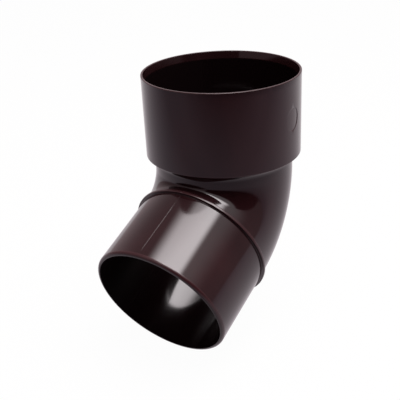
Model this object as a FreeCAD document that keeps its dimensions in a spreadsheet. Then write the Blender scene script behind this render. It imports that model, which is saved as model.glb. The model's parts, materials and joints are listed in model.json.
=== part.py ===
import FreeCAD, Part
import os
import Sketcher

# A one-piece moulded elbow for a round downspout: a socket that takes the pipe from above,
# a tight bend, a stop collar and a plain spigot that goes into the pipe below.
# Millimetres. +Z runs up the socket's axis, the spigot swings down towards -Y,
# and the origin is the centre of the seat that the upper pipe stops on.

NODE = "downspout_elbow"
FULL_TURN = 360
SAME_PLACE = 0.001

# Driving sizes: name, value in millimetres or degrees, what it measures
SIZES = [
    ("pipe_dia", "80.0", "outside diameter of the downspout that the elbow fits"),
    ("pipe_wall", "1.8", "wall of that downspout"),
    ("socket_clearance", "0.3", "gap between the pipe and the socket's bore"),
    ("socket_depth", "41.9", "mouth down to the pipe seat"),
    ("socket_wall", "1.85", "wall around the plain bore, at the mouth"),
    ("socket_draft", "0.4", "degrees that the socket's outside narrows downwards"),
    ("lead_in_height", "4.0", "height of the flare inside the mouth"),
    ("lead_in_width", "0.75", "how far the flare opens at the mouth"),
    ("rim_edge_radius", "0.4", "outer edge of the mouth"),
    ("shoulder_thickness", "2.0", "seat down to the underside of the shoulder"),
    ("shoulder_edge_radius", "0.25", "outer edge of the shoulder"),
    ("shoulder_flat", "0.1", "flat ring on the shoulder's underside, between its edge and the fillet to the neck"),
    ("seat_edge_radius", "1.0", "edge where the seat turns down into the waterway"),
    ("neck_length", "7.9", "shoulder down to the start of the bend"),
    ("bend_angle", "67.5", "degrees that the elbow turns the water"),
    ("throat_radius", "1.0", "inside radius of the bend, on the outer skin"),
    ("tube_wall", "2.455", "wall of the neck and the bend"),
    ("tail_length", "4.85", "end of the bend to the collar's stop face"),
    ("collar_height", "1.45", "how far the collar stands above the spigot"),
    ("collar_width", "1.5", "length of the collar along the spigot's axis"),
    ("collar_edge_radius", "0.4", "both outer edges of the collar"),
    ("collar_fillet_radius", "0.8", "inside corner between the collar and the bend's tail"),
    ("spigot_clearance", "0.7", "gap between the spigot and the inside of the lower pipe"),
    ("spigot_wall", "1.9", "wall of the spigot at its end"),
    ("spigot_draft", "0.9", "degrees that the spigot's inside narrows towards the bend"),
    ("spigot_length", "43.2", "stop face to the end of the spigot"),
    ("spigot_end_radius", "1.75", "rounded outer edge of the spigot's end"),
]

# Expressions that the sketches and features share
ON_AXIS = "0"
BORE_RADIUS = "(sizes.pipe_dia / 2 + sizes.socket_clearance)"
MOUTH_RADIUS = f"({BORE_RADIUS} + sizes.socket_wall)"
SOCKET_HEIGHT = "(sizes.socket_depth + sizes.shoulder_thickness)"
SHOULDER_RADIUS = f"({MOUTH_RADIUS} - {SOCKET_HEIGHT} * tan(sizes.socket_draft * 1 deg))"
SPIGOT_RADIUS = "(sizes.pipe_dia / 2 - sizes.pipe_wall - sizes.spigot_clearance)"
SPIGOT_END = "(sizes.tail_length + sizes.spigot_length)"
OUTLET_RADIUS = f"({SPIGOT_RADIUS} - sizes.spigot_wall)"
WATERWAY_RADIUS = f"({OUTLET_RADIUS} - {SPIGOT_END} * tan(sizes.spigot_draft * 1 deg))"
TUBE_RADIUS = f"({WATERWAY_RADIUS} + sizes.tube_wall)"
NECK_FILLET = f"({SHOULDER_RADIUS} - {TUBE_RADIUS} - sizes.shoulder_edge_radius - sizes.shoulder_flat)"
COLLAR_RADIUS = f"({SPIGOT_RADIUS} + sizes.collar_height)"
BEND_RADIUS = f"({TUBE_RADIUS} + sizes.throat_radius)"
MOUTH_LEVEL = "sizes.socket_depth"
LEAD_IN_LEVEL = "(sizes.socket_depth - sizes.lead_in_height)"
SEAT_LEVEL = "0"
SHOULDER_LEVEL = "(-sizes.shoulder_thickness)"
BEND_LEVEL = "(-sizes.shoulder_thickness - sizes.neck_length)"
COLLAR_BACK = "(sizes.tail_length - sizes.collar_width)"
COLLAR_FACE = "sizes.tail_length"
TAIL_Y = f"(-{BEND_RADIUS} * (1 - cos(sizes.bend_angle * 1 deg)))"
TAIL_Z = f"({BEND_LEVEL} - {BEND_RADIUS} * sin(sizes.bend_angle * 1 deg))"
TAIL_TURN = "(180 - sizes.bend_angle)"


def make_sheet(doc):
    """Put the driving sizes in a spreadsheet, one row each."""
    sheet = doc.addObject("Spreadsheet::Sheet", "sizes")
    for row, (alias, number, meaning) in enumerate(SIZES, 1):
        sheet.set(f"A{row}", meaning)
        sheet.set(f"B{row}", number)
        sheet.setAlias(f"B{row}", alias)
    doc.recompute()
    return sheet


def value(doc, expression):
    """Number that an expression of the sheet's sizes comes to."""
    return float(doc.getObject("sizes").evalExpression(expression))


def new_sketch(body, name, role):
    """Sketch on one of the body's own origin planes."""
    plane = next(feature for feature in body.Origin.OriginFeatures if feature.Role == role)
    sketch = body.newObject("Sketcher::SketchObject", name)
    sketch.AttachmentSupport = [(plane, "")]
    sketch.MapMode = "FlatFace"
    return sketch


def hold(sketch, kind, line, expression):
    """Hold one coordinate of a line's start, measured from the sketch's origin."""
    if expression == ON_AXIS:
        axis = -2 if kind == "DistanceX" else -1
        sketch.addConstraint(Sketcher.Constraint("PointOnObject", line, 1, axis))
        return
    number = value(sketch.Document, expression)
    index = sketch.addConstraint(Sketcher.Constraint(kind, -1, 1, line, 1, number))
    sketch.setExpression(f"Constraints[{index}]", expression)


def draw_outline(sketch, corners):
    """Closed outline whose corners are pairs of expressions: radius, then distance along the axis."""
    doc = sketch.Document
    points = [FreeCAD.Vector(value(doc, x), value(doc, y), 0) for x, y in corners]
    count = len(points)
    for line in range(count):
        sketch.addGeometry(Part.LineSegment(points[line], points[(line + 1) % count]))
    for line in range(count):
        sketch.addConstraint(Sketcher.Constraint("Coincident", line, 2, (line + 1) % count, 1))
    for line, (x, y) in enumerate(corners):
        hold(sketch, "DistanceX", line, x)
        hold(sketch, "DistanceY", line, y)


def socket_sketch(body, name, corners):
    """Outline that turns about the socket's axis."""
    sketch = new_sketch(body, name, "YZ_Plane")
    draw_outline(sketch, corners)
    return sketch


def spigot_sketch(body, name, corners):
    """Outline that turns about the spigot's axis, measured from the end of the bend."""
    sketch = new_sketch(body, name, "YZ_Plane")
    sketch.setExpression("AttachmentOffset.Base.x", TAIL_Y)
    sketch.setExpression("AttachmentOffset.Base.y", TAIL_Z)
    sketch.setExpression("AttachmentOffset.Rotation.Angle", TAIL_TURN)
    draw_outline(sketch, corners)
    return sketch


def bend_sketch(body, name, radius):
    """Round section at the start of the bend, one bend radius behind the bend's own axis."""
    doc = body.Document
    sketch = new_sketch(body, name, "XY_Plane")
    sketch.setExpression("AttachmentOffset.Base.y", f"-{BEND_RADIUS}")
    sketch.setExpression("AttachmentOffset.Base.z", BEND_LEVEL)
    centre = FreeCAD.Vector(0, value(doc, BEND_RADIUS), 0)
    sketch.addGeometry(Part.Circle(centre, FreeCAD.Vector(0, 0, 1), value(doc, radius)))
    sketch.addConstraint(Sketcher.Constraint("PointOnObject", 0, 3, -2))
    height = sketch.addConstraint(Sketcher.Constraint("DistanceY", -1, 1, 0, 3, centre.y))
    size = sketch.addConstraint(Sketcher.Constraint("Radius", 0, value(doc, radius)))
    sketch.setExpression(f"Constraints[{height}]", BEND_RADIUS)
    sketch.setExpression(f"Constraints[{size}]", radius)
    return sketch


def turn(body, kind, name, sketch):
    """Revolution or Groove by a full turn about the sketch's upright axis."""
    feature = body.newObject(f"PartDesign::{kind}", name)
    feature.Profile = sketch
    feature.ReferenceAxis = (sketch, ["V_Axis"])
    feature.Angle = FULL_TURN
    return feature


def turn_bend(body, kind, name, sketch):
    """Revolution or Groove through the bend's angle, downwards about the bend's axis."""
    feature = body.newObject(f"PartDesign::{kind}", name)
    feature.Profile = sketch
    feature.ReferenceAxis = (sketch, ["H_Axis"])
    feature.Reversed = True
    feature.setExpression("Angle", "sizes.bend_angle")
    return feature


def outer_form(body):
    """Solid form of the elbow's outside: socket and neck, bend, then collar and spigot."""
    socket = socket_sketch(body, "socket_outline", [
        (ON_AXIS, MOUTH_LEVEL),
        (MOUTH_RADIUS, MOUTH_LEVEL),
        (SHOULDER_RADIUS, SHOULDER_LEVEL),
        (TUBE_RADIUS, SHOULDER_LEVEL),
        (TUBE_RADIUS, BEND_LEVEL),
        (ON_AXIS, BEND_LEVEL),
    ])
    turn(body, "Revolution", "socket_and_neck", socket)
    turn_bend(body, "Revolution", "bend", bend_sketch(body, "bend_section", TUBE_RADIUS))
    spigot = spigot_sketch(body, "spigot_outline", [
        (ON_AXIS, ON_AXIS),
        (TUBE_RADIUS, ON_AXIS),
        (TUBE_RADIUS, COLLAR_BACK),
        (COLLAR_RADIUS, COLLAR_BACK),
        (COLLAR_RADIUS, COLLAR_FACE),
        (SPIGOT_RADIUS, COLLAR_FACE),
        (SPIGOT_RADIUS, SPIGOT_END),
        (ON_AXIS, SPIGOT_END),
    ])
    turn(body, "Revolution", "collar_and_spigot", spigot)


def waterway(body):
    """Hollow from mouth to spigot end: flare, bore and seat, then the bend and the spigot's inside."""
    bore = socket_sketch(body, "bore_outline", [
        (ON_AXIS, MOUTH_LEVEL),
        (f"({BORE_RADIUS} + sizes.lead_in_width)", MOUTH_LEVEL),
        (BORE_RADIUS, LEAD_IN_LEVEL),
        (BORE_RADIUS, SEAT_LEVEL),
        (WATERWAY_RADIUS, SEAT_LEVEL),
        (WATERWAY_RADIUS, BEND_LEVEL),
        (ON_AXIS, BEND_LEVEL),
    ])
    turn(body, "Groove", "socket_bore", bore)
    turn_bend(body, "Groove", "bend_bore", bend_sketch(body, "bend_bore_section", WATERWAY_RADIUS))
    inside = spigot_sketch(body, "spigot_bore_outline", [
        (ON_AXIS, ON_AXIS),
        (WATERWAY_RADIUS, ON_AXIS),
        (OUTLET_RADIUS, SPIGOT_END),
        (ON_AXIS, SPIGOT_END),
    ])
    turn(body, "Groove", "spigot_bore", inside)


def ring(shape, radius, centre):
    """Name of the round edge with this radius and centre."""
    for number, edge in enumerate(shape.Edges, 1):
        curve = edge.Curve
        if not isinstance(curve, Part.Circle):
            continue
        if abs(curve.Radius - radius) < SAME_PLACE and curve.Center.distanceToPoint(centre) < SAME_PLACE:
            return f"Edge{number}"
    raise ValueError(f"no round edge of radius {radius} at {centre}")


def round_edges(body, name, radius, places):
    """Fillet of one radius on round edges, each given as radius, axis and distance along that axis."""
    doc = body.Document
    doc.recompute()
    base = body.Tip
    edges = []
    for size, axis, distance in places:
        start, direction = axis
        centre = start + direction * value(doc, distance)
        edges.append(ring(base.Shape, value(doc, size), centre))
    fillet = body.newObject("PartDesign::Fillet", name)
    fillet.Base = (base, edges)
    fillet.setExpression("Radius", radius)


def rounded_edges(body):
    """Round the rim, the shoulder, the seat, the collar and the spigot's end."""
    doc = body.Document
    tail = FreeCAD.Vector(0, value(doc, TAIL_Y), value(doc, TAIL_Z))
    turned = FreeCAD.Rotation(FreeCAD.Vector(1, 0, 0), value(doc, TAIL_TURN))
    socket_axis = (FreeCAD.Vector(0, 0, 0), FreeCAD.Vector(0, 0, 1))
    spigot_axis = (tail, turned.multVec(FreeCAD.Vector(0, 0, 1)))
    round_edges(body, "rim_edge", "sizes.rim_edge_radius",
                [(MOUTH_RADIUS, socket_axis, MOUTH_LEVEL)])
    round_edges(body, "shoulder_edge", "sizes.shoulder_edge_radius",
                [(SHOULDER_RADIUS, socket_axis, SHOULDER_LEVEL)])
    round_edges(body, "neck_fillet", NECK_FILLET,
                [(TUBE_RADIUS, socket_axis, SHOULDER_LEVEL)])
    round_edges(body, "seat_edge", "sizes.seat_edge_radius",
                [(WATERWAY_RADIUS, socket_axis, SEAT_LEVEL)])
    round_edges(body, "collar_fillet", "sizes.collar_fillet_radius",
                [(TUBE_RADIUS, spigot_axis, COLLAR_BACK)])
    round_edges(body, "collar_edges", "sizes.collar_edge_radius",
                [(COLLAR_RADIUS, spigot_axis, COLLAR_BACK), (COLLAR_RADIUS, spigot_axis, COLLAR_FACE)])
    round_edges(body, "spigot_end_edge", "sizes.spigot_end_radius",
                [(SPIGOT_RADIUS, spigot_axis, SPIGOT_END)])


def check(doc, body):
    """Stop if any object failed, or if the elbow isn't one sound solid."""
    for item in doc.Objects:
        if "Invalid" in item.State or "Error" in item.State:
            raise RuntimeError(f"{item.Name} failed: {item.State}")
    shape = body.Shape
    if shape.isNull() or not shape.isValid() or len(shape.Solids) != 1:
        raise RuntimeError(f"{body.Label} is not one valid solid")


def main():
    """Build the elbow and write its solid."""
    doc = FreeCAD.newDocument(NODE)
    make_sheet(doc)
    body = doc.addObject("PartDesign::Body", NODE)
    body.Label = NODE
    outer_form(body)
    doc.recompute()
    full_volume = body.Shape.Volume
    waterway(body)
    doc.recompute()
    wall_volume = body.Shape.Volume
    rounded_edges(body)
    doc.recompute()
    check(doc, body)
    os.makedirs("parts", exist_ok=True)
    body.Shape.exportStep(f"parts/{body.Label}.step")
    print(f"{body.Label}: outside {full_volume:.0f} mm3, wall {wall_volume:.0f} mm3,"
          f" finished {body.Shape.Volume:.0f} mm3")


main()
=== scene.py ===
"""Visual model of a moulded downspout elbow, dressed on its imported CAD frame.

The elbow is one thin shell: a socket on top, a neck, a tight bend, a stop
collar and a spigot. Sizes are in millimetres and become metres in the mesh.
"""

import json
import logging
import math
from dataclasses import dataclass, field
from enum import Enum
from typing import Any

import bmesh
import bpy
from mathutils import Matrix, Vector


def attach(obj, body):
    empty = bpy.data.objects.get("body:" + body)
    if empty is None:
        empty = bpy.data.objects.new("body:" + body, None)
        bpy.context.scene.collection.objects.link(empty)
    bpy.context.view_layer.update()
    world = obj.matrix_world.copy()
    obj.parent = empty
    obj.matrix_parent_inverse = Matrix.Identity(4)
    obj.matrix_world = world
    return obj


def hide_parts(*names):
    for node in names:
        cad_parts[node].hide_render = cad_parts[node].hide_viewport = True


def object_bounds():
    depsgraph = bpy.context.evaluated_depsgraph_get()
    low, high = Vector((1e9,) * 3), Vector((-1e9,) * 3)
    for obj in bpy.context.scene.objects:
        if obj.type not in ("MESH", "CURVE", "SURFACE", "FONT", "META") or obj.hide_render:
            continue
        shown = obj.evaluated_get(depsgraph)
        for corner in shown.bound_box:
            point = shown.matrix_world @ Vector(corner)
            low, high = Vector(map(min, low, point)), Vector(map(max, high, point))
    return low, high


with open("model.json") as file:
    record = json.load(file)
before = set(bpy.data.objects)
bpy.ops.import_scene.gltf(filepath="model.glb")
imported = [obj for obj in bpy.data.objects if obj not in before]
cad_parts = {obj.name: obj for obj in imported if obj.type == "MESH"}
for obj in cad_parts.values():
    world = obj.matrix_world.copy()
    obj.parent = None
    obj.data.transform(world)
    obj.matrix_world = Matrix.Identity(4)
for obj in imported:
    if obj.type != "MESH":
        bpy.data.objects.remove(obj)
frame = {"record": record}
CAD_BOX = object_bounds()

LOG = logging.getLogger("downspout_elbow")
MM = 0.001
QUARTER_TURN = 90.0
OFF_TO_ON = (0.0, 1.0)
FLATTENED = (1.0, 1.0, 0.0)
BODY = "root"
NODE = "downspout_elbow"
EDGE_ATTRIBUTE = "rubbed_edge"
INSIDE_ATTRIBUTE = "inside"
# A Mix node's sockets go by number, because several of them share a name.
SHARE = 0
LEVEL_A, LEVEL_B, LEVEL_OUT = 2, 3, 0
COLOUR_A, COLOUR_B, COLOUR_OUT = 6, 7, 2


class Way(Enum):
    """Which way the wall is drawn round the bend: its turn's sign about +X."""

    WITH_WATER = -1
    AGAINST_WATER = 1


class Fade(Enum):
    """How a level goes over into another."""

    STRAIGHT = "LINEAR"
    SOFT = "SMOOTHSTEP"


def linear(hex_colour: str) -> tuple[float, float, float, float]:
    """Turn an sRGB hex colour into linear RGBA.

    Args:
        hex_colour: Six hex digits after a hash.

    Returns:
        Linear red, green and blue, and an alpha of 1.
    """
    channels = [int(hex_colour[i:i + 2], 16) / 255 for i in (1, 3, 5)]
    red, green, blue = (
        c / 12.92 if c <= 0.04045 else ((c + 0.055) / 1.055) ** 2.4
        for c in channels
    )
    return red, green, blue, 1.0


def level(azimuth: float) -> Vector:
    """The level direction at an azimuth in degrees, from -Y towards +X."""
    turn = math.radians(azimuth)
    return Vector((math.sin(turn), -math.cos(turn), 0.0))


def add_node(
    tree: bpy.types.NodeTree,
    kind: str,
    settings: dict[str, Any] | None = None,
    inputs: dict[str | int, Any] | None = None,
) -> bpy.types.Node:
    """Add a node with its settings, values and links.

    Args:
        tree: The node tree that the node joins.
        kind: The node's type name.
        settings: Attributes of the node itself.
        inputs: A value, or an output socket to link, for each input.

    Returns:
        The new node.
    """
    node = tree.nodes.new(kind)
    for name, value in (settings or {}).items():
        setattr(node, name, value)
    for name, value in (inputs or {}).items():
        if isinstance(value, bpy.types.NodeSocket):
            tree.links.new(value, node.inputs[name])
        else:
            node.inputs[name].default_value = value
    return node


@dataclass(frozen=True)
class MouldedPvc:
    """Rigid PVC, coloured through and injection moulded in a polished tool.

    The eye gets a dark warm brown under a clear gloss, reflections with a
    little haze from the tool's polish, slow flow marks where the melt ran,
    and edges that handling has rubbed a little duller. The edges' paler
    colour is partly wear and partly a painted edge highlight. Inside, the
    bore's colour is darkened as painted shade, and its sides dull where the
    core dragged.
    """

    name: str = "moulded_brown_pvc"
    body_hex: str = "#1E0D0F"
    flow_hex: str = "#281315"
    rubbed_and_highlight_hex: str = "#381F21"
    bore_shade_hex: str = "#0E0607"
    ior: float = 1.53
    shine: float = 0.5
    dragged_shine: float = 0.15
    gloss_roughness: float = 0.085
    haze_roughness: float = 0.105
    rubbed_roughness: float = 0.26
    dragged_roughness: float = 0.34
    dragged_mm: tuple[float, float] = (25.0, 31.0)
    flow_mm: float = 26.0
    flow_stretch: tuple[float, float, float] = (1.0, 1.0, 0.45)
    flow_detail: float = 3.0
    flow_span: tuple[float, float] = (0.35, 0.65)
    haze_mm: float = 7.0
    haze_detail: float = 4.0
    peel_mm: float = 2.4
    peel_detail: float = 1.0
    peel_height_mm: float = 0.0012

    def build(self) -> bpy.types.Material:
        """Build the material's nodes.

        Returns:
            The finished material.
        """
        material = bpy.data.materials.new(self.name)
        material.use_nodes = True
        tree = material.node_tree
        tree.nodes.clear()
        place = add_node(tree, "ShaderNodeTexCoord").outputs["Object"]
        rub_and_highlight, inside = (
            add_node(tree, "ShaderNodeAttribute", {"attribute_name": name})
            .outputs["Fac"] for name in (EDGE_ATTRIBUTE, INSIDE_ATTRIBUTE))
        # The melt's slow streaks run down the socket and along the bend.
        stretched = add_node(tree, "ShaderNodeMapping", inputs={
            "Vector": place, "Scale": self.flow_stretch}).outputs["Vector"]
        flow, haze, peel = (
            add_node(tree, "ShaderNodeTexNoise", inputs={
                "Vector": where, "Scale": 1 / (size * MM), "Detail": detail}
            ).outputs["Fac"] for where, size, detail in (
                (stretched, self.flow_mm, self.flow_detail),
                (place, self.haze_mm, self.haze_detail),
                (place, self.peel_mm, self.peel_detail)))
        streaks = add_node(tree, "ShaderNodeMapRange", inputs={
            "Value": flow, "From Min": self.flow_span[0],
            "From Max": self.flow_span[1]}).outputs["Result"]
        # Painted light in the colour: rounded edges turn paler, partly wear and
        # partly a painted edge highlight; the bore turns darker as painted shade.
        colour: Any = linear(self.body_hex)
        for share, other in (
            (streaks, self.flow_hex),
            (rub_and_highlight, self.rubbed_and_highlight_hex),
            (inside, self.bore_shade_hex),
        ):
            colour = add_node(
                tree, "ShaderNodeMix", {"data_type": "RGBA"},
                {SHARE: share, COLOUR_A: colour, COLOUR_B: linear(other)}
            ).outputs[COLOUR_OUT]
        # The core drags along the sides of the bore and dulls them.
        across = add_node(
            tree, "ShaderNodeSeparateXYZ", inputs={0: place}).outputs["X"]
        off_middle = add_node(
            tree, "ShaderNodeMath", {"operation": "ABSOLUTE"},
            {0: across}).outputs[0]
        dragged = add_node(tree, "ShaderNodeMapRange", inputs={
            "Value": off_middle, "From Min": self.dragged_mm[0] * MM,
            "From Max": self.dragged_mm[1] * MM, "To Max": inside}
        ).outputs["Result"]
        shine = add_node(
            tree, "ShaderNodeMix", {"data_type": "FLOAT"},
            {SHARE: dragged, LEVEL_A: self.shine,
             LEVEL_B: self.dragged_shine}).outputs[LEVEL_OUT]
        roughness = add_node(tree, "ShaderNodeMapRange", inputs={
            "Value": haze, "To Min": self.gloss_roughness,
            "To Max": self.haze_roughness}).outputs["Result"]
        for share, other in (
            (dragged, self.dragged_roughness),
            (rub_and_highlight, self.rubbed_roughness),
        ):
            roughness = add_node(
                tree, "ShaderNodeMix", {"data_type": "FLOAT"},
                {SHARE: share, LEVEL_A: roughness, LEVEL_B: other}
            ).outputs[LEVEL_OUT]
        bump = add_node(tree, "ShaderNodeBump", inputs={
            "Strength": 1.0, "Distance": self.peel_height_mm * MM,
            "Height": peel}).outputs["Normal"]
        shader = add_node(tree, "ShaderNodeBsdfPrincipled", inputs={
            "Base Color": colour, "Roughness": roughness, "IOR": self.ior,
            "Specular IOR Level": shine, "Normal": bump}).outputs["BSDF"]
        add_node(tree, "ShaderNodeOutputMaterial", inputs={"Surface": shader})
        return material


@dataclass(frozen=True)
class Rounding:
    """A rounded corner: its reach, its steps, and its share of rub and painted edge
    highlight, from 0 to 1.
    """

    reach: float
    segments: int
    rub_and_highlight: float = 0.0


class WallDrawer:
    """Draws a tube's wall ring by ring, along an axis that can turn.

    A ring is drawn on to a new radius and height above the axis's zero. The
    heights fall along the way the water runs.
    """

    def __init__(self, radius: float, height: float, columns: int) -> None:
        """Start with one ring around the socket's axis.

        Args:
            radius: The first ring's radius in millimetres.
            height: Its height on the axis in millimetres.
            columns: How many even points the ring has.
        """
        self.mesh = bmesh.new()
        self.mesh.verts.layers.float.new(EDGE_ATTRIBUTE)
        self.mesh.verts.layers.float.new(INSIDE_ATTRIBUTE)
        self.axis = Matrix.Identity(4)
        self.radius = radius
        self.height = height
        self.corners: list[tuple[list[bmesh.types.BMEdge], Rounding]] = []
        bmesh.ops.create_circle(
            self.mesh, cap_ends=False, segments=columns, radius=radius * MM)
        bmesh.ops.translate(
            self.mesh, verts=self.mesh.verts[:], vec=(0, 0, height * MM))
        self.ring: list[bmesh.types.BMEdge] = self.mesh.edges[:]

    def refine(self, direction: Vector, reach: float, cuts: int) -> None:
        """Add points to the first ring around one direction.

        Args:
            direction: From the axis to the middle of the finer part.
            reach: How far it goes to each side, in millimetres.
            cuts: New points on each edge there.
        """
        height = self.height * MM
        middle = direction * self.radius * MM + Vector((0, 0, height))
        near = [
            e for e in self.mesh.edges
            if max((v.co - middle).length for v in e.verts) < reach * MM]
        made = bmesh.ops.subdivide_edges(self.mesh, edges=near, cuts=cuts)
        for vert in made["geom_inner"]:
            if isinstance(vert, bmesh.types.BMVert):
                flat = vert.co.xy.normalized() * self.radius * MM
                vert.co = (flat.x, flat.y, height)
        self.ring = self.mesh.edges[:]

    def draw(
        self, radius: float, height: float, rounding: Rounding | None = None,
    ) -> None:
        """Draw the wall on to a new ring.

        Args:
            radius: The new ring's radius in millimetres.
            height: Its height on the axis in millimetres.
            rounding: How the corner at the ring will be rounded.
        """
        made = bmesh.ops.extrude_edge_only(self.mesh, edges=self.ring)["geom"]
        verts = [g for g in made if isinstance(g, bmesh.types.BMVert)]
        inward = self.axis.inverted()
        grow = radius / self.radius
        bmesh.ops.translate(
            self.mesh, verts=verts, space=inward,
            vec=(0, 0, (height - self.height) * MM))
        bmesh.ops.scale(
            self.mesh, verts=verts, space=inward, vec=(grow, grow, 1))
        fresh = set(verts)
        self.ring = [
            g for g in made
            if isinstance(g, bmesh.types.BMEdge) and set(g.verts) <= fresh]
        self.radius, self.height = radius, height
        if rounding:
            self.corners.append((self.ring, rounding))

    def run(self, radius: float, height: float, step: float) -> None:
        """Draw a straight or tapering run in even rings.

        Args:
            radius: The last ring's radius in millimetres.
            height: Its height on the axis in millimetres.
            step: The most that two rings stand apart, in millimetres.
        """
        first = (self.radius, self.height)
        count = max(1, math.ceil(abs(height - self.height) / step))
        for i in range(1, count + 1):
            self.draw(
                first[0] + (radius - first[0]) * i / count,
                first[1] + (height - first[1]) * i / count)

    def turn(self, centre: Vector, angle: float, steps: int) -> None:
        """Sweep the ring round a bend, and the axis with it.

        Args:
            centre: A point on the bend's own axis, in millimetres.
            angle: How far it turns about +X, in degrees.
            steps: Rings in the bend.
        """
        verts = list({v for e in self.ring for v in e.verts})
        swept = bmesh.ops.spin(
            self.mesh, geom=verts + self.ring, cent=centre * MM,
            axis=(1, 0, 0), angle=math.radians(angle), steps=steps,
            use_merge=False, use_duplicate=False)["geom_last"]
        self.ring = [g for g in swept if isinstance(g, bmesh.types.BMEdge)]
        self.axis = (
            Matrix.Translation(centre * MM)
            @ Matrix.Rotation(math.radians(angle), 4, "X")
            @ Matrix.Translation(-centre * MM)
            @ self.axis)

    def mark_inside(self, inside: float) -> None:
        """Say how far what is drawn from here on is inside.

        Args:
            inside: 1 inside the bore, 0 on the outer skin.
        """
        layer = self.mesh.verts.layers.float[INSIDE_ATTRIBUTE]
        for edge in self.ring:
            for vert in edge.verts:
                vert[layer] = inside

    def close(self, weld: float) -> bmesh.types.BMesh:
        """Join the last ring to the first and round the corners.

        Args:
            weld: The distance within which points join, in millimetres.

        Returns:
            The closed shell, with its faces pointing outwards.
        """
        layer = self.mesh.verts.layers.float[EDGE_ATTRIBUTE]
        for edges, rounding in self.corners:
            made = bmesh.ops.bevel(
                self.mesh, geom=edges, offset=rounding.reach * MM,
                offset_type="OFFSET", segments=rounding.segments,
                profile=0.5, affect="EDGES", material=-1,
                clamp_overlap=False)
            # Rounded edges carry their share of wear and painted edge highlight.
            for vert in made["verts"]:
                vert[layer] = rounding.rub_and_highlight
        bmesh.ops.remove_doubles(
            self.mesh, verts=self.mesh.verts[:], dist=weld * MM)
        bmesh.ops.recalc_face_normals(self.mesh, faces=self.mesh.faces[:])
        return self.mesh


@dataclass
class Socket:
    """The sleeve on top that takes the pipe, with its shoulder and neck.

    Its depth and wall are a hair less than the CAD's, so that the skin stays
    inside the CAD's box. The guard is the plain wall beyond a rounding.
    """

    bore: float
    lead_in_start: float
    depth: float = 41.899
    wall: float = 1.84
    draft: float = 0.4
    lead_in_width: float = 0.75
    lead_in_share: float = 0.4
    shoulder: float = 2.0
    shoulder_flat: float = 0.1
    neck_length: float = 7.9
    neck_segments: int = 14
    rim: Rounding = Rounding(0.3, 5, 1.0)
    mouth_edge: Rounding = Rounding(0.15, 3, 1.0)
    lead_in_edge: Rounding = Rounding(0.15, 2)
    seat_corner: Rounding = Rounding(0.15, 3)
    seat_edge: Rounding = Rounding(1.0, 6)
    shoulder_edge: Rounding = Rounding(0.25, 4, 0.6)
    guard: float = 0.3
    ring_step: float = 3.0
    fine_step: float = 0.16

    @property
    def mouth_inside(self) -> float:
        """The radius where the lead-in meets the flat rim."""
        return self.bore + self.lead_in_width

    @property
    def mouth(self) -> float:
        """The outside radius at the rim."""
        return self.bore + self.wall

    def outside(self, height: float) -> float:
        """The drafted outside radius at a height above the seat."""
        fall = math.tan(math.radians(self.draft))
        return self.mouth - (self.depth - height) * fall

    @property
    def start(self) -> float:
        """The height just under the rim where the drawing starts."""
        return self.depth - self.rim.reach - self.guard

    def draw_outside(
        self, pen: WallDrawer, tube: float, mark_height: float,
        mark_reach: float,
    ) -> None:
        """Draw from just under the rim down to the start of the bend.

        Args:
            pen: The drawer, just under the rim.
            tube: The neck's outside radius.
            mark_height: Where the round mark is, above the seat.
            mark_reach: How far the finer rings go to each side of it.
        """
        for height, step in (
            (mark_height + mark_reach, self.ring_step),
            (mark_height - mark_reach, self.fine_step),
            (self.shoulder_edge.reach + self.guard - self.shoulder,
             self.ring_step),
        ):
            pen.run(self.outside(height), height, step)
        under = self.outside(-self.shoulder)
        fillet = under - tube - self.shoulder_edge.reach - self.shoulder_flat
        pen.draw(under, -self.shoulder, self.shoulder_edge)
        pen.draw(tube, -self.shoulder, Rounding(fillet, self.neck_segments))
        pen.draw(tube, -self.shoulder - fillet - self.guard)
        pen.run(tube, -self.shoulder - self.neck_length, self.ring_step)

    def draw_inside(self, pen: WallDrawer) -> None:
        """Draw from the top of the bend's waterway back over the rim.

        Args:
            pen: The drawer, at the start of the bend.
        """
        way = pen.radius
        seat_reach = self.seat_edge.reach + self.guard
        corner_reach = self.seat_corner.reach + self.guard
        pen.run(way, -seat_reach, self.ring_step)
        pen.draw(way, 0.0, self.seat_edge)
        pen.draw(way + seat_reach, 0.0)
        pen.draw(self.bore - corner_reach, 0.0)
        pen.draw(self.bore, 0.0, self.seat_corner)
        pen.draw(self.bore, corner_reach)
        pen.run(self.bore, self.lead_in_start - self.guard, self.ring_step)
        pen.draw(self.bore, self.lead_in_start, self.lead_in_edge)
        # The lead-in takes part of the bore's painted shade in its colour.
        pen.mark_inside(self.lead_in_share)
        slope = self.lead_in_width / (self.depth - self.lead_in_start)
        for height in (self.lead_in_start + self.guard,
                       self.depth - self.mouth_edge.reach - self.guard):
            rise = height - self.lead_in_start
            pen.run(self.bore + slope * rise, height, self.ring_step)
        pen.draw(self.mouth_inside, self.depth, self.mouth_edge)
        pen.draw(self.mouth, self.depth, self.rim)
        pen.draw(self.outside(self.start), self.start)


@dataclass
class Bend:
    """The tight elbow between the neck and the spigot."""

    angle: float
    throat: float = 1.0
    tube_wall: float = 2.455
    steps: int = 46

    def draw(self, pen: WallDrawer, centre: Vector, way: Way) -> None:
        """Sweep a ring, from one end of the bend about its centre."""
        pen.turn(centre, way.value * self.angle, self.steps)


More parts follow.
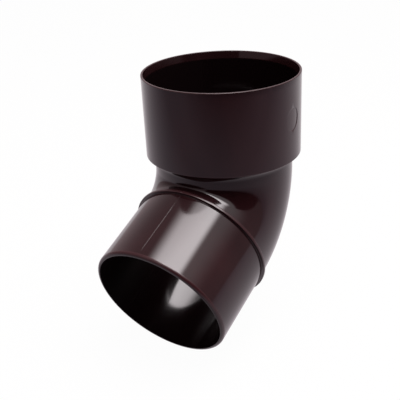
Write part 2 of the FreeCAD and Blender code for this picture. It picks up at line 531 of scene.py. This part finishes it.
@dataclass
class Spigot:
    """The plain end that enters the next pipe, with the stop collar on it."""

    radius: float
    end: float
    wall: float = 1.9
    bore_draft: float = 0.9
    collar_back: float = 3.35
    collar_face: float = 4.85
    collar_height: float = 1.45
    collar_fillet: Rounding = Rounding(0.8, 6)
    collar_edge: Rounding = Rounding(0.27, 5, 0.6)
    collar_corner: Rounding = Rounding(0.15, 3)
    end_edge: Rounding = Rounding(1.75, 10, 0.7)
    outlet_edge: Rounding = Rounding(0.05, 2, 0.9)
    guard: float = 0.3
    ring_step: float = 3.0

    @property
    def outlet(self) -> float:
        """The inside radius at the spigot's end."""
        return self.radius - self.wall

    @property
    def waterway(self) -> float:
        """The inside radius at the bend, narrowed by the core's draft."""
        return self.outlet - self.end * math.tan(math.radians(self.bore_draft))

    def draw_outside(self, pen: WallDrawer, zero: float) -> None:
        """Draw from the bend's end to the spigot's end and into its mouth.

        Args:
            pen: The drawer, at the end of the bend.
            zero: The drawer's height there.
        """
        collar = self.radius + self.collar_height
        tube = pen.radius
        back, face, end = (
            zero - along
            for along in (self.collar_back, self.collar_face, self.end))
        pen.run(
            tube, back + self.collar_fillet.reach + self.guard,
            self.ring_step)
        pen.draw(tube, back, self.collar_fillet)
        pen.draw(collar, back, self.collar_edge)
        pen.draw(collar, face, self.collar_edge)
        pen.draw(self.radius, face, self.collar_corner)
        pen.draw(self.radius, face - self.collar_corner.reach - self.guard)
        pen.run(
            self.radius, end + self.end_edge.reach + self.guard,
            self.ring_step)
        pen.draw(self.radius, end, self.end_edge)
        pen.draw(self.outlet, end, self.outlet_edge)

    def draw_inside(self, pen: WallDrawer, zero: float) -> None:
        """Draw the waterway from the spigot's mouth to the bend."""
        pen.draw(self.outlet, zero - self.end + self.guard)
        pen.run(self.waterway, zero, self.ring_step)


@dataclass
class MouldMarks:
    """What the tool leaves on the skin: its parting line and a sunk disc.

    The disc is where a round insert sat a little askew, so that it is sunk
    towards +Y and fades out towards -Y.
    """

    line_height: float = 0.1
    line_on_socket: float = 0.03
    line_reach: float = 0.07
    line_columns: float = 1.1
    line_stop: float = 4.0
    fade_under_rim: float = 8.0
    disc_height: float = 21.0
    disc_radius: float = 5.9
    disc_step: float = 0.16
    disc_depth: float = 0.26
    disc_columns: float = 8.0
    skin_share: float = 0.25
    inside_from: float = 0.5

    @property
    def disc_reach(self) -> float:
        """How far the finer mesh goes around the disc's middle."""
        return self.disc_radius + self.disc_step

    def sink_disc(self, mesh: bmesh.types.BMesh, least: float) -> None:
        """Sink the round insert mark into the socket's +X side.

        Args:
            mesh: The closed shell.
            least: The radius beyond which the skin is outside.
        """
        for vert in mesh.verts:
            x, y, z = vert.co / MM
            if x < least:
                continue
            along = math.hypot(y, z - self.disc_height)
            share = (self.disc_reach - along) / self.disc_step
            tilt = (1 + y / self.disc_radius) / 2
            depth = self.disc_depth * tilt * min(1.0, max(0.0, share))
            vert.co -= Vector((x, y, 0)).normalized() * depth * MM

    def raise_line(
        self, mesh: bmesh.types.BMesh, socket: Socket, spigot_end: float,
        place: Matrix,
    ) -> None:
        """Raise the parting line that runs round in the plane X = 0.

        Args:
            mesh: The closed shell.
            socket: The socket, whose wall the line crosses.
            spigot_end: The spigot's end, on its own axis.
            place: From the spigot's own axis to the row frame.
        """
        back = place.inverted()
        lowest = spigot_end + self.line_stop
        highest = (socket.depth - self.fade_under_rim) * MM
        inner = mesh.verts.layers.float[INSIDE_ATTRIBUTE]
        mesh.normal_update()
        moves: list[tuple[bmesh.types.BMVert, Vector]] = []
        for vert in mesh.verts:
            if abs(vert.co.x) > self.line_reach * MM:
                continue
            if vert[inner] > self.inside_from or vert.co.z > highest:
                continue
            if (back @ vert.co / MM).z < lowest:
                continue
            above = vert.co.z > -socket.shoulder * MM
            rise = self.line_on_socket if above else self.line_height
            moves.append((vert, vert.normal * rise * MM))
        for vert, move in moves:
            vert.co += move


@dataclass
class DownspoutElbow:
    """The whole moulding."""

    socket: Socket
    bend: Bend
    spigot: Spigot
    marks: MouldMarks = field(default_factory=MouldMarks)
    finish: MouldedPvc = field(default_factory=MouldedPvc)
    columns: int = 180
    fine_cuts: int = 9
    weld: float = 0.004

    @classmethod
    def from_record(cls, record: dict[str, Any]) -> "DownspoutElbow":
        """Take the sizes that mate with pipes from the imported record.

        Args:
            record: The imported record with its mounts.

        Returns:
            The elbow, sized.
        """
        mounts = {m["name"]: m for m in record["mounts"]}
        bore = mounts["socket"]["dims"]
        pin = mounts["spigot"]["dims"]
        heading = Vector(mounts["spigot"]["axis"])
        angle = math.degrees(heading.angle(Vector((0, 0, -1))))
        length = pin["length_mm"] + Spigot.end_edge.reach
        return cls(
            Socket(bore["r_mm"], bore["length_mm"]), Bend(angle),
            Spigot(pin["r_mm"], Spigot.collar_face + length))

    @property
    def tube(self) -> float:
        """The outside radius of the neck and the bend."""
        return self.spigot.waterway + self.bend.tube_wall

    @property
    def bend_centre(self) -> Vector:
        """Where the bend's own axis crosses the plane X = 0."""
        drop = self.socket.shoulder + self.socket.neck_length
        return Vector((0, -self.tube - self.bend.throat, -drop))

    def shape(self) -> bmesh.types.BMesh:
        """Draw the closed shell with the marks of its tool.

        Returns:
            The mesh of the whole moulding.
        """
        zero = self.bend_centre.z
        start = self.socket.start
        pen = WallDrawer(
            self.socket.outside(start), start, self.columns)
        side = Vector((1, 0, 0))
        front = Vector((0, -1, 0))
        pitch = math.tau * self.socket.mouth_inside / self.columns
        line_reach = pitch * self.marks.line_columns
        for direction, reach in (
            (side, self.marks.disc_columns),
            (front, line_reach),
            (-front, line_reach),
        ):
            pen.refine(direction, reach, self.fine_cuts)
        self.socket.draw_outside(
            pen, self.tube, self.marks.disc_height, self.marks.disc_reach)
        self.bend.draw(pen, self.bend_centre, Way.WITH_WATER)
        self.spigot.draw_outside(pen, zero)
        place = pen.axis.copy()
        # From here on the bore gets the full painted shade in its colour.
        pen.mark_inside(1.0)
        self.spigot.draw_inside(pen, zero)
        self.bend.draw(pen, self.bend_centre, Way.AGAINST_WATER)
        self.socket.draw_inside(pen)
        mesh = pen.close(self.weld)
        skin = self.socket.wall * self.marks.skin_share
        self.marks.sink_disc(mesh, self.socket.bore + skin)
        self.marks.raise_line(
            mesh, self.socket, zero - self.spigot.end, place)
        return mesh

    def build(self) -> bpy.types.Object:
        """Make the piece, dress it and hand it to the frame.

        Returns:
            The elbow's object.
        """
        mesh = bpy.data.meshes.new(NODE + "_skin")
        drawn = self.shape()
        drawn.to_mesh(mesh)
        drawn.free()
        mesh.shade_smooth()
        mesh.materials.append(self.finish.build())
        piece = bpy.data.objects.new("elbow_skin", mesh)
        bpy.context.scene.collection.objects.link(piece)
        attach(piece, BODY)
        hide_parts(NODE)
        LOG.info("%s: %d faces", piece.name, len(mesh.polygons))
        return piece


@dataclass
class Studio:
    """A light tent around a pale board, with a panel of light on top.

    The tent's near side is open, and the dark room shows there. Its walls
    are grey at the sides and lighter towards the back. The floor's level is
    in metres, as the frame gives it. Places on the panel are in shares of
    its height above the object, which is in metres too.
    """

    floor_level: float
    turn: float
    tint_hex: str = "#FFF8FA"
    cloth_hex: str = "#FFDCE2"
    shade_hex: str = "#FFE8FA"
    white_hex: str = "#FFFFFF"
    white_level: float = 1.0
    tint_span: tuple[float, float] = (0.3, 1.0)
    cloth_fill: float = 2.4
    board_hex: str = "#C8C8C8"
    board_front: float = 500.0
    board_back: float = 1500.0
    board_side: float = 900.0
    board_glow: float = 0.97
    board_fade: tuple[float, float] = (540.0, 260.0)
    board_range: tuple[float, float] = (0.31, 0.92)
    pool: float = 0.88
    pool_reach: float = 540.0
    back_azimuth: float = -155.0
    back_rise: float = 1.25
    opening_azimuth: float = 48.0
    opening_half: float = 45.0
    opening_blur: float = 1.5
    opening_dark: float = 0.002
    hem: tuple[float, float] = (0.60, 0.68)
    slope: tuple[float, float] = (0.28, 0.82)
    wall_span: tuple[float, float] = (0.25, 1.1)
    wall_range: tuple[float, float] = (0.29, 0.78)
    roof_azimuth: float = 70.0
    roof_span: tuple[float, float] = (-0.3, 0.4)
    roof_range: tuple[float, float] = (0.38, 1.08)
    panel_height: float = 0.9
    panel_left: tuple[float, float] = (-0.31, 0.0)
    panel_right: tuple[float, float] = (0.75, 0.51)
    panel_near: tuple[float, float] = (0.65, 0.40)
    panel_far: tuple[float, float] = (-0.50, 0.12)
    panel_far_level: float = 0.24
    panel_radiance: float = 9.4

    def build_board(self) -> bpy.types.Object:
        """Make the pale board, which keeps a faint shadow.

        Returns:
            The board's object.
        """
        mesh = bpy.data.meshes.new("white_board")
        drawn = bmesh.new()
        bmesh.ops.create_grid(drawn, x_segments=1, y_segments=1, size=1.0)
        depth = (self.board_front + self.board_back) / 2
        bmesh.ops.scale(
            drawn, verts=drawn.verts[:],
            vec=(self.board_side * MM, depth * MM, 1))
        bmesh.ops.translate(
            drawn, verts=drawn.verts[:],
            vec=(0, (depth - self.board_front) * MM, self.floor_level))
        bmesh.ops.rotate(
            drawn, verts=drawn.verts[:],
            matrix=Matrix.Rotation(math.radians(self.turn), 3, "Z"))
        drawn.to_mesh(mesh)
        drawn.free()
        mesh.materials.append(self.board_finish())
        board = bpy.data.objects.new("white_board", mesh)
        bpy.context.scene.collection.objects.link(board)
        LOG.info("board at %.1f mm", self.floor_level / MM)
        return board

    def tinted(
        self, tree: bpy.types.NodeTree, glow: bpy.types.NodeSocket,
        shade: str,
    ) -> bpy.types.NodeSocket:
        """Warm the colour of what glows faintly, as shaded cloth is warmer.

        Args:
            tree: The node tree that the colour joins.
            glow: How strongly each place glows.
            shade: The colour of the faintest places, in sRGB hex.

        Returns:
            The colour's output socket.
        """
        share = add_node(tree, "ShaderNodeMapRange", inputs={
            "Value": glow, "From Min": self.tint_span[0],
            "From Max": self.tint_span[1]}).outputs["Result"]
        return add_node(
            tree, "ShaderNodeMix", {"data_type": "RGBA"},
            {SHARE: share, COLOUR_A: linear(shade),
             COLOUR_B: linear(self.tint_hex)}).outputs[COLOUR_OUT]

    def board_finish(self) -> bpy.types.Material:
        """Make the board's finish.

        To the camera it is white with a trace of shadow. To all else it is
        a pool of light under the panel that grows towards the back.

        Returns:
            The finished material.
        """
        material = bpy.data.materials.new("matt_white_board")
        material.use_nodes = True
        tree = material.node_tree
        tree.nodes.clear()
        rays = add_node(tree, "ShaderNodeLightPath").outputs
        place = add_node(tree, "ShaderNodeTexCoord").outputs["Object"]
        flat = add_node(
            tree, "ShaderNodeVectorMath", {"operation": "MULTIPLY"},
            {0: place, 1: FLATTENED}).outputs[0]
        reach = add_node(
            tree, "ShaderNodeVectorMath", {"operation": "LENGTH"},
            {0: flat}).outputs["Value"]
        to_back, to_near = (
            add_node(
                tree, "ShaderNodeVectorMath", {"operation": "DOT_PRODUCT"},
                {0: flat, 1: level(azimuth)}).outputs["Value"]
            for azimuth in (self.back_azimuth, self.turn))
        further = add_node(
            tree, "ShaderNodeMath", {"operation": "MULTIPLY_ADD"},
            {0: reach, 1: 1 / (self.pool_reach * MM), 2: 1.0}).outputs[0]
        pool = add_node(
            tree, "ShaderNodeMath", {"operation": "DIVIDE"},
            {0: self.pool, 1: further}).outputs[0]
        lit = add_node(
            tree, "ShaderNodeMath", {"operation": "MULTIPLY_ADD"},
            {0: to_back, 1: self.back_rise, 2: pool}).outputs[0]
        held = add_node(tree, "ShaderNodeClamp", inputs={
            "Value": lit, "Min": self.board_range[0],
            "Max": self.board_range[1]}).outputs[0]
        fade = add_node(tree, "ShaderNodeMapRange", inputs={
            "Value": to_near, "From Min": self.board_fade[0] * MM,
            "From Max": self.board_fade[1] * MM}).outputs["Result"]
        faded = add_node(
            tree, "ShaderNodeMath", {"operation": "MULTIPLY"},
            {0: held, 1: fade}).outputs[0]
        graded = add_node(tree, "ShaderNodeEmission", inputs={
            "Color": self.tinted(tree, faded, self.shade_hex),
            "Strength": faded}).outputs[0]
        matt = add_node(tree, "ShaderNodeBsdfDiffuse", inputs={
            "Color": linear(self.board_hex)}).outputs[0]
        white = add_node(tree, "ShaderNodeEmission", inputs={
            "Color": linear(self.white_hex),
            "Strength": self.white_level}).outputs[0]
        shown = add_node(tree, "ShaderNodeMixShader", inputs={
            0: self.board_glow, 1: matt, 2: white}).outputs[0]
        mixed = add_node(tree, "ShaderNodeMixShader", inputs={
            0: rays["Is Camera Ray"], 1: graded, 2: shown}).outputs[0]
        add_node(tree, "ShaderNodeOutputMaterial", inputs={"Surface": mixed})
        return material

    def build_world(self) -> bpy.types.World:
        """Make the tent's walls, its roof and its dark open side.

        Returns:
            The scene's world.
        """
        world = bpy.data.worlds.new("light_tent")
        world.use_nodes = True
        tree = world.node_tree
        tree.nodes.clear()
        rays = add_node(tree, "ShaderNodeLightPath").outputs
        heading = add_node(tree, "ShaderNodeTexCoord").outputs["Generated"]
        height = add_node(
            tree, "ShaderNodeSeparateXYZ", inputs={0: heading}).outputs["Z"]
        flat = add_node(
            tree, "ShaderNodeVectorMath", {"operation": "MULTIPLY"},
            {0: heading, 1: FLATTENED}).outputs[0]
        round_about = add_node(
            tree, "ShaderNodeVectorMath", {"operation": "NORMALIZE"},
            {0: flat}).outputs[0]
        to_opening, to_back, to_roof = (
            add_node(
                tree, "ShaderNodeVectorMath", {"operation": "DOT_PRODUCT"},
                {0: vector, 1: level(azimuth)}).outputs["Value"]
            for vector, azimuth in (
                (round_about, self.opening_azimuth),
                (round_about, self.back_azimuth),
                (heading, self.roof_azimuth)))
        opening_span = tuple(
            math.cos(math.radians(self.opening_half + side))
            for side in (self.opening_blur, -self.opening_blur))
        opened, cloth, roof, slope, hem = (
            add_node(
                tree, "ShaderNodeMapRange",
                {"interpolation_type": fade.value},
                {"Value": value, "From Min": span[0], "From Max": span[1],
                 "To Min": levels[0], "To Max": levels[1]}).outputs["Result"]
            for value, span, levels, fade in (
                (to_opening, opening_span, OFF_TO_ON, Fade.SOFT),
                (to_back, self.wall_span, self.wall_range, Fade.STRAIGHT),
                (to_roof, self.roof_span, self.roof_range, Fade.STRAIGHT),
                (height, self.slope, OFF_TO_ON, Fade.SOFT),
                (height, self.hem, OFF_TO_ON, Fade.SOFT)))
        # The cloth's wide soft light counts for more than its mirror image.
        fill = add_node(
            tree, "ShaderNodeMath", {"operation": "MULTIPLY_ADD"},
            {0: rays["Is Diffuse Ray"], 1: self.cloth_fill - 1, 2: 1.0}
        ).outputs[0]
        wall = add_node(
            tree, "ShaderNodeMath", {"operation": "MULTIPLY"},
            {0: cloth, 1: fill}).outputs[0]
        rise, sides = (
            add_node(
                tree, "ShaderNodeMix", {"data_type": "FLOAT"},
                {SHARE: opened, LEVEL_A: shut, LEVEL_B: open_side}
            ).outputs[LEVEL_OUT]
            for shut, open_side in ((slope, hem), (wall, self.opening_dark)))
        glow = add_node(
            tree, "ShaderNodeMix", {"data_type": "FLOAT"},
            {SHARE: rise, LEVEL_A: sides, LEVEL_B: roof}).outputs[LEVEL_OUT]
        tent = add_node(tree, "ShaderNodeBackground", inputs={
            "Color": self.tinted(tree, glow, self.cloth_hex),
            "Strength": glow}).outputs[0]
        white = add_node(tree, "ShaderNodeBackground", inputs={
            "Color": linear(self.white_hex),
            "Strength": self.white_level}).outputs[0]
        shown = add_node(tree, "ShaderNodeMixShader", inputs={
            0: rays["Is Camera Ray"], 1: tent, 2: white}).outputs[0]
        add_node(tree, "ShaderNodeOutputWorld", inputs={"Surface": shown})
        bpy.context.scene.world = world
        return world

    def build_panel(self) -> bpy.types.Object:
        """Hang the panel of light, whose edges fade.

        Returns:
            The lamp's object.
        """
        across = (self.panel_left[0], self.panel_right[0])
        along = (self.panel_far[0], self.panel_near[0])
        data = bpy.data.lights.new("top_panel", "AREA")
        data.shape = "RECTANGLE"
        data.size = (across[1] - across[0]) * self.panel_height
        data.size_y = (along[1] - along[0]) * self.panel_height
        data.energy = self.panel_radiance * math.pi * data.size * data.size_y
        data.use_nodes = True
        tree = data.node_tree
        tree.nodes.clear()
        place = add_node(tree, "ShaderNodeNewGeometry").outputs["Position"]
        to_right, to_near = (
            add_node(
                tree, "ShaderNodeVectorMath", {"operation": "DOT_PRODUCT"},
                {0: place, 1: level(self.turn + side) / self.panel_height}
            ).outputs["Value"]
            for side in (QUARTER_TURN, 0.0))
        light, *edges = (
            add_node(
                tree, "ShaderNodeMapRange",
                {"interpolation_type": fade.value},
                {"Value": value, "From Min": span[0], "From Max": span[1],
                 "To Min": least}).outputs["Result"]
            for value, span, least, fade in (
                (to_right, self.panel_left, 0.0, Fade.SOFT),
                (to_right, self.panel_right, 0.0, Fade.SOFT),
                (to_near, self.panel_near, 0.0, Fade.SOFT),
                (to_near, self.panel_far, self.panel_far_level,
                 Fade.STRAIGHT)))
        for edge in edges:
            light = add_node(
                tree, "ShaderNodeMath", {"operation": "MULTIPLY"},
                {0: light, 1: edge}).outputs[0]
        shine = add_node(tree, "ShaderNodeEmission", inputs={
            "Color": linear(self.tint_hex), "Strength": light}).outputs[0]
        add_node(tree, "ShaderNodeOutputLight", inputs={"Surface": shine})
        lamp = bpy.data.objects.new("top_panel", data)
        middle = Vector((sum(across) / 2, -sum(along) / 2, 1.0))
        turned = Matrix.Rotation(math.radians(self.turn), 4, "Z")
        lamp.matrix_world = turned @ Matrix.Translation(
            middle * self.panel_height)
        lamp.visible_camera = False
        bpy.context.scene.collection.objects.link(lamp)
        LOG.info("top panel of %.1f W", data.energy)
        return lamp


@dataclass
class Viewpoint:
    """The camera of the photograph, fitted to the object's outlines."""

    place: tuple[float, float, float] = (217.03, -348.73, 153.18)
    azimuth: float = 33.87
    elevation: float = 24.27
    roll: float = -2.80
    sensor: float = 36.0
    lens: float = 72.36
    nearest: float = 10.0

    def build(self) -> bpy.types.Object:
        """Set up the camera.

        Returns:
            The camera's object.
        """
        data = bpy.data.cameras.new("viewpoint")
        data.sensor_width = self.sensor
        data.lens = self.lens
        data.clip_start = self.nearest * MM
        camera = bpy.data.objects.new("viewpoint", data)
        tilt = QUARTER_TURN - self.elevation
        camera.matrix_world = (
            Matrix.Translation(Vector(self.place) * MM)
            @ Matrix.Rotation(math.radians(self.azimuth), 4, "Z")
            @ Matrix.Rotation(math.radians(tilt), 4, "X")
            @ Matrix.Rotation(math.radians(self.roll), 4, "Z"))
        bpy.context.scene.collection.objects.link(camera)
        bpy.context.scene.camera = camera
        return camera


def main() -> None:
    """Build the elbow, the studio and the camera."""
    logging.basicConfig(level=logging.INFO)
    bpy.context.scene.view_settings.view_transform = "Standard"
    DownspoutElbow.from_record(frame["record"]).build()
    viewpoint = Viewpoint()
    studio = Studio(CAD_BOX[0][2], viewpoint.azimuth)
    studio.build_board()
    studio.build_world()
    studio.build_panel()
    viewpoint.build()


if __name__ == "__main__":
    main()
